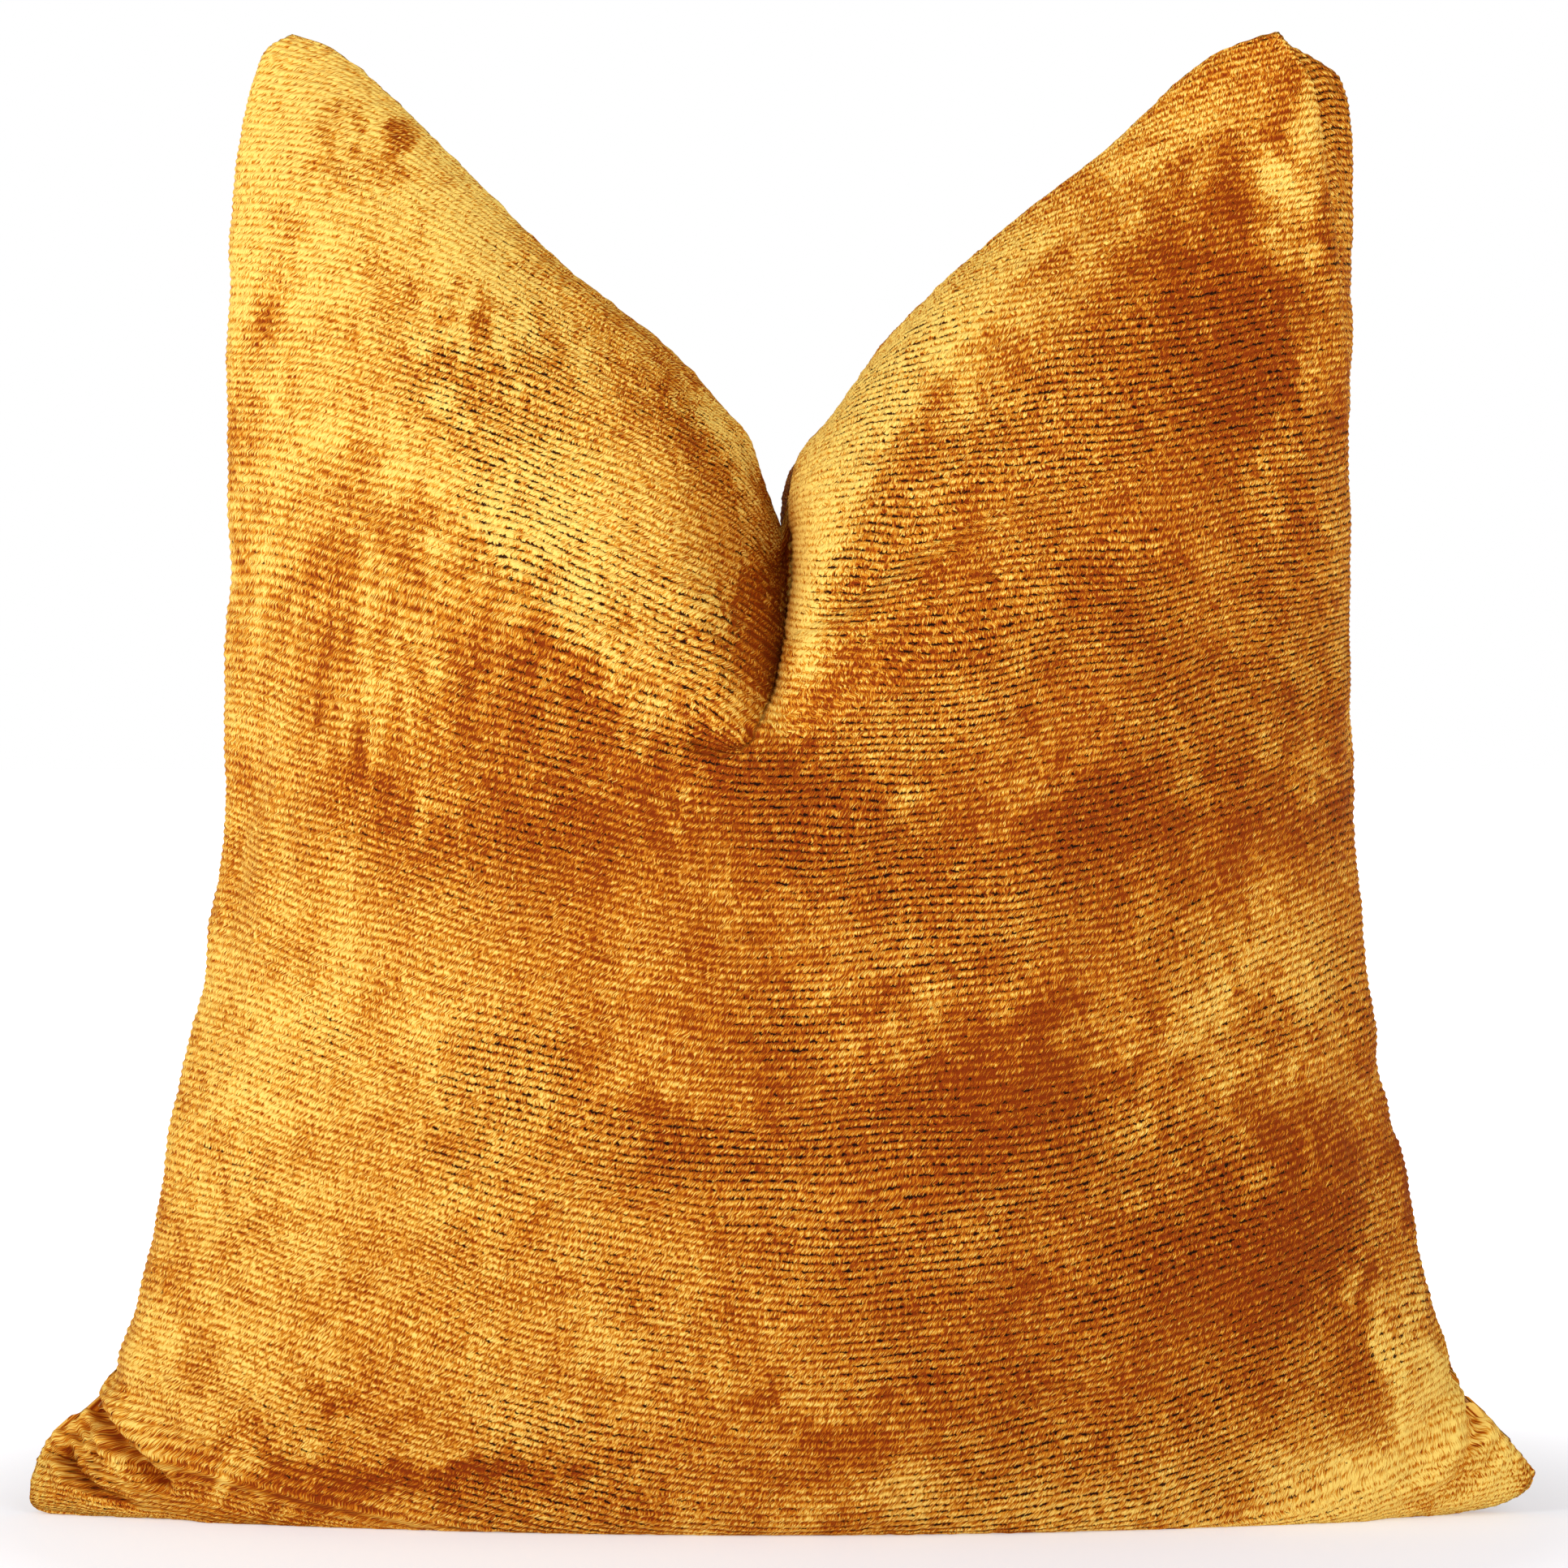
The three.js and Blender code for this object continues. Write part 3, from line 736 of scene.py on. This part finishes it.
def velvet():
    """Hand-loomed silk velvet: rows of leaning tufts, with dark broken gaps between the rows; the
    pile's sheen, the light and shade on its rows and part of the gaps' darkness are painted into the
    colour.
    """
    n = Nodes("gold_velvet")
    parts = n.node("ShaderNodeSeparateXYZ")
    n.link(n.attribute("cloth", "Vector"), parts.inputs[0])
    along, count, openness = parts.outputs
    flat = n.node("ShaderNodeCombineXYZ")
    n.link(along, flat.inputs[0])
    n.link(count, flat.inputs[1])
    slanted = n.node("ShaderNodeCombineXYZ")
    n.link(n.maths("SUBTRACT", along, n.maths("MULTIPLY", count, STRAND_SLANT)), slanted.inputs[0])
    n.link(count, slanted.inputs[1])
    tufts = n.noise(slanted.outputs[0], 1.0, detail=1.0, stretch=TUFTS)
    strands = n.noise(slanted.outputs[0], 1.0, detail=1.0, stretch=STRANDS)
    clumps = n.noise(flat.outputs[0], 1.0, detail=2.0, stretch=CLUMPS)
    dashes = n.noise(flat.outputs[0], 1.0, detail=2.0, stretch=DASHES, rough=0.65)

    # How far a place is from the crest of its row, and whether it lies in an open gap.
    ragged = n.maths("ADD", count, n.remap(tufts, 0.2, 0.8, -0.2, 0.2))
    ragged = n.maths("ADD", ragged, n.remap(clumps, 0.2, 0.8, -0.12, 0.12))
    off_crest = n.maths("ABSOLUTE", n.maths("SUBTRACT", n.maths("FRACT", ragged), 0.5))
    width = n.maths("ADD", off_crest, n.remap(dashes, 0.25, 0.75, -0.24, 0.24))
    width = n.maths("ADD", width, n.remap(openness, 0.0, 1.0, -0.28, -0.01))
    gap = n.remap(width, 0.4, 0.5)

    # Painted sheen: how much of its lit side the pile shows, with painted light on the crests of the
    # rows and painted shade towards the gaps.
    pile_sheen_and_shade = n.maths("ADD", n.attribute("painted_sheen_and_shade"), n.remap(tufts, 0.3, 0.7, -0.36, 0.36))
    pile_sheen_and_shade = n.maths("ADD", pile_sheen_and_shade, n.remap(strands, 0.35, 0.65, -0.36, 0.36))
    pile_sheen_and_shade = n.maths("ADD", pile_sheen_and_shade, n.remap(clumps, 0.25, 0.75, -0.1, 0.1))
    pile_sheen_and_shade = n.maths("SUBTRACT", pile_sheen_and_shade, n.remap(off_crest, 0.1, 0.5, -0.1, 0.34))
    colour = n.ramp(pile_sheen_and_shade, [(at, srgb(*shade)) for at, shade in VELVET_SHADED_TO_LIT])
    # The gaps show the velvet's dark backing, deepened with painted shade.
    n.paint(n.blend(gap, colour, n.blend(1.0, colour, srgb(*GAP_BACKING_AND_SHADE), "MULTIPLY")))
    n.set("Roughness", 0.7)
    n.set("Specular IOR Level", 0.06)
    n.set("Sheen Weight", 0.15)
    n.set("Sheen Roughness", 0.4)
    n.set("Sheen Tint", srgb(255, 186, 70))
    height = n.maths("SUBTRACT", n.maths("ADD", tufts, n.maths("MULTIPLY", strands, 0.6)), gap)
    n.bump(height, 0.0009, 0.8)
    return n.material


def woven(name, light, dark, pitch):
    """Plain woven cotton or tape: two crossing sets of fine threads, `pitch` millimetres apart."""
    n = Nodes(name)
    waves = []
    for direction in ("X", "Z"):
        wave = n.node("ShaderNodeTexWave", bands_direction=direction)
        wave.inputs["Scale"].default_value = WAVE_REPEAT / (pitch * MM)
        wave.inputs["Distortion"].default_value = 0.4
        n.link(n.place(), wave.inputs["Vector"])
        waves.append(wave.outputs["Fac"])
    weave = n.maths("MULTIPLY", waves[0], waves[1])
    slubs = n.noise(n.place(), 300, stretch=(1, 1, 4))
    threads = n.ramp(n.maths("MULTIPLY_ADD", weave, 0.5), [(0.0, dark), (1.0, light)])
    n.paint(n.blend(n.remap(slubs, 0.3, 0.7, 0.0, 0.3), threads, dark))
    n.set("Roughness", 0.9)
    n.bump(weave, 0.0002)
    return n.material


def thread(name, light, dark):
    """Twisted sewing thread."""
    n = Nodes(name)
    twist = n.noise(n.place(), 1400)
    n.paint(n.ramp(twist, [(0.3, dark), (0.7, light)]))
    n.set("Roughness", 0.6)
    n.set("Sheen Weight", 0.3)
    n.bump(twist, 0.0002)
    return n.material


def fibre():
    """Fluffy polyester fibre."""
    n = Nodes("polyester_fibre")
    curls = n.noise(n.place(), 220, detail=6.0, rough=0.7)
    n.paint(n.ramp(curls, [(0.3, srgb(214, 210, 202)), (0.7, srgb(250, 249, 245))]))
    n.set("Roughness", 0.95)
    n.set("Sheen Weight", 0.4)
    n.bump(curls, 0.003)
    return n.material


def nylon():
    """Dyed nylon, for the coils of the zip."""
    n = Nodes("nylon_coil")
    cloud = n.noise(n.place(), 160, detail=3.0)
    n.paint(n.ramp(cloud, [(0.3, srgb(140, 88, 20)), (0.7, srgb(172, 112, 32))]))
    n.set("Roughness", 0.4)
    n.bump(n.noise(n.place(), 900), 0.0001)
    return n.material


def brass():
    """Antique brass, darker where hands don't polish it."""
    n = Nodes("antique_brass")
    age = n.noise(n.place(), 260, detail=5.0, rough=0.65)
    n.paint(n.ramp(age, [(0.35, srgb(96, 70, 34)), (0.65, srgb(176, 138, 76))]))
    n.link(n.remap(age, 0.3, 0.7, 0.5, 0.28), n.shader.inputs["Roughness"])
    n.set("Metallic", 1.0)
    n.bump(n.noise(n.place(), 1500, detail=3.0), 0.00008)
    return n.material


# ================================================================ studio
CAMERA_FAR = 2.6
CAMERA_UP = 2.4  # degrees
FRAME_WIDE = 0.5084  # what the picture takes in, at the pillow
AIM_Z = 0.2374
FLOOR_HALF = 6.0
FLOOR_GREY = (0.68, 0.68, 0.72, 1)
FLOOR_GLOW = (0.38, 1.0)  # beside the pillow and away from it, where the floor joins the backdrop
GLOW_GROWS = (0.25, 0.5)
BACKDROP_SEEN = 1.0
BACKDROP_LIGHT = 0.5


def camera():
    data = bpy.data.cameras.new("camera")
    data.sensor_width = 36
    data.lens = data.sensor_width * CAMERA_FAR / FRAME_WIDE
    obj = bpy.data.objects.new("camera", data)
    tilt = math.radians(CAMERA_UP)
    obj.location = (0, -CAMERA_FAR * math.cos(tilt), AIM_Z + CAMERA_FAR * math.sin(tilt))
    obj.rotation_euler = (math.pi / 2 - tilt, 0, 0)
    bpy.context.scene.collection.objects.link(obj)
    bpy.context.scene.camera = obj


def area_light(name, place, aim, size, power):
    data = bpy.data.lights.new(name, "AREA")
    data.shape = "RECTANGLE"
    data.size, data.size_y = size
    data.energy = power
    obj = bpy.data.objects.new(name, data)
    obj.location = place
    away = obj.location - type(obj.location)(aim)
    obj.rotation_euler = away.to_track_quat("Z", "Y").to_euler()
    bpy.context.scene.collection.objects.link(obj)


def floor():
    mesh = bpy.data.meshes.new("studio_floor")
    far = FLOOR_HALF
    corners = [(-far, -far, 0), (far, -far, 0), (far, far, 0), (-far, far, 0)]
    mesh.from_pydata(corners, [], [(0, 1, 2, 3)])
    obj = bpy.data.objects.new("studio_floor", mesh)
    bpy.context.scene.collection.objects.link(obj)
    n = Nodes("studio_floor")
    n.set("Base Color", FLOOR_GREY)
    n.set("Roughness", 0.6)
    n.set("Specular IOR Level", 0.1)
    n.set("Emission Color", (1, 1, 1, 1))
    away = n.node("ShaderNodeVectorMath", operation="LENGTH")
    n.link(n.place(), away.inputs[0])
    glow = n.remap(away.outputs["Value"], *GLOW_GROWS, *FLOOR_GLOW)
    n.link(glow, n.shader.inputs["Emission Strength"])
    mesh.materials.append(n.material)


def world(seen, lighting):
    """A white backdrop, which lights the pillow with less than it shows."""
    made = bpy.data.worlds.new("studio")
    made.use_nodes = True
    tree = made.node_tree
    shown = tree.nodes["Background"]
    shown.inputs["Color"].default_value = (1, 1, 1, 1)
    shown.inputs["Strength"].default_value = seen
    lit = tree.nodes.new("ShaderNodeBackground")
    lit.inputs["Color"].default_value = (1, 1, 1, 1)
    lit.inputs["Strength"].default_value = lighting
    path = tree.nodes.new("ShaderNodeLightPath")
    pick = tree.nodes.new("ShaderNodeMixShader")
    tree.links.new(path.outputs["Is Camera Ray"], pick.inputs[0])
    tree.links.new(lit.outputs[0], pick.inputs[1])
    tree.links.new(shown.outputs[0], pick.inputs[2])
    tree.links.new(pick.outputs[0], tree.nodes["World Output"].inputs["Surface"])
    bpy.context.scene.world = made


def studio():
    bpy.context.scene.view_settings.view_transform = "Standard"
    world(BACKDROP_SEEN, BACKDROP_LIGHT)
    area_light("key", (-1.9, -1.3, 1.2), (0, 0, 0.25), (1.3, 1.3), 28)
    area_light("front", (1.1, -2.5, 1.2), (0, 0, 0.2), (1.6, 1.2), 26)
    floor()
    camera()


# ================================================================ the pieces
SEAM_TO_MIDDLE = 260.0  # roughly, in the fabric
STUFFING_GRID = 90


def kept_nodes(gold, metal):
    """The zip and the stitches on its tapes keep their CAD shapes and get their own materials."""
    finishes = {
        "zip_tape": woven("zip_tape", srgb(186, 124, 40), srgb(128, 80, 18), 0.7),
        "zip_coil": nylon(),
        "tape_stitching": gold,
        "stop": metal,
        "zip_slider": metal,
        "zip_pull_tab": metal,
    }
    for name, obj in frame["nodes"].items():
        for key, finish in finishes.items():
            if key in name:
                obj.data.materials.clear()
                obj.data.materials.append(finish)


def stuffing_sheet(side, count, inside, seed):
    """One side of the insert or of its filling: the cover's form, thinner by `inside`."""
    share = crowded_to_ends(count)
    rim = inside / SEAM_TO_MIDDLE
    u = mix(rim, 1 - rim, share)[None, :]
    top = 1 - rim - 0.45 * bell((2 * u - 1) / 0.25)  # lower under the chop
    v = rim + (top - rim) * share[:, None]
    u = np.repeat(u, count, axis=0)
    place, back = form(u, v, -1), form(u, v, 1)
    middle = (place[..., 1] + back[..., 1]) / 2
    edge = np.minimum.outer(np.minimum(share, 1 - share), np.minimum(share, 1 - share))
    thick = np.maximum(0, back[..., 1] - middle - inside) * smooth(edge, 0, 0.02)
    wrinkles = field((count, count), (24, 24), seed)
    thick = thick * (1 - 0.05 * np.abs(wrinkles))
    place[..., 1] = middle + side * thick
    place[..., 2] = np.maximum(place[..., 2], inside + 3)
    return place


def stuffing(name, inside, seed, finish, nodes):
    """A closed bag inside the cover: two sheets that share their rim."""
    sheets = []
    for side in (-1, 1):
        place = stuffing_sheet(side, STUFFING_GRID, inside, seed + side)
        sheets.append(grid_object(name, place, {}, flip=side > 0))
    front, back = sheets
    with bpy.context.temp_override(active_object=front, selected_editable_objects=[front, back]):
        bpy.ops.object.join()
    made = bmesh.new()
    made.from_mesh(front.data)
    bmesh.ops.remove_doubles(made, verts=made.verts, dist=0.05 * MM)
    made.to_mesh(front.data)
    made.free()
    front.data.materials.append(finish)
    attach(front, "pillow")
    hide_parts(*nodes)


def seam_thread(node, stops, inside, radius, finish):
    """A sewing thread that runs along the seam, behind the turned edge."""
    u, v = np.array(stops, float).T
    x, z = seam_plane_place(u, v)
    turn = form(u, v, -1)[:, 1]
    steps = inward(np.stack([x, turn, z], axis=-1)[None])[0]
    data = bpy.data.curves.new(node + "_line", "CURVE")
    data.dimensions = "3D"
    data.bevel_depth = radius * MM
    data.use_fill_caps = True
    run = data.splines.new("POLY")
    run.points.add(len(u) - 1)
    for point, px, pz, py, (ix, _, iz) in zip(run.points, x, z, turn, steps):
        place = ((px + ix * inside) * FIT_X, py, max(2 * radius, (pz + iz * inside) * FIT_Z))
        point.co = [c * MM for c in place] + [1]
    obj = bpy.data.objects.new(node + "_stitch", data)
    bpy.context.scene.collection.objects.link(obj)
    data.materials.append(finish)
    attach(obj, "pillow")
    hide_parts(node)


def edge_stops(fixed, start, end, count, up):
    """Stops (u, v) along one edge of the panel."""
    moving = np.linspace(start, end, count)
    return [(fixed, t) if up else (t, fixed) for t in moving]


def seam_threads(gold, white):
    runs = {
        "left_seam_thread": edge_stops(0, 0.06, 0.97, 60, up=True),
        "right_seam_thread": edge_stops(1, 0.06, 0.97, 60, up=True),
        "top_seam_thread": edge_stops(1, 0.03, 0.97, 90, up=False),
        "bottom_left_seam_thread": edge_stops(0, 0.03, 0.06, 6, up=False),
        "bottom_right_seam_thread": edge_stops(0, 0.94, 0.97, 6, up=False),
    }
    for node, stops in runs.items():
        seam_thread(node, stops, 4.5, 0.5, gold)
    insert_stops = edge_stops(0.98, 0.1, 0.36, 40, up=False)
    seam_thread("insert_seam_thread", insert_stops, 12, 0.3, white)


def main():
    gold = velvet()
    cover_panel("front_cover_panel", -1, 860, 500, FRONT_FOLDS, FRONT_SHEEN_AND_SHADE, 7, gold)
    cover_panel("back_cover_panel", 1, 700, 400, BACK_FOLDS, BACK_SHEEN_AND_SHADE, 107, gold)
    stitch = thread("gold_thread", srgb(196, 132, 40), srgb(140, 86, 18))
    kept_nodes(stitch, brass())
    seam_threads(stitch, thread("white_thread", srgb(240, 238, 230), srgb(205, 200, 188)))
    cotton = woven("insert_cotton", srgb(236, 232, 222), srgb(204, 198, 184), 0.6)
    casing_nodes = ["front_insert_casing", "back_insert_casing"]
    stuffing("insert_casing", 9, 207, cotton, casing_nodes)
    stuffing("polyester_filling", 12, 217, fibre(), ["fibre_fill"])
    studio()


main()
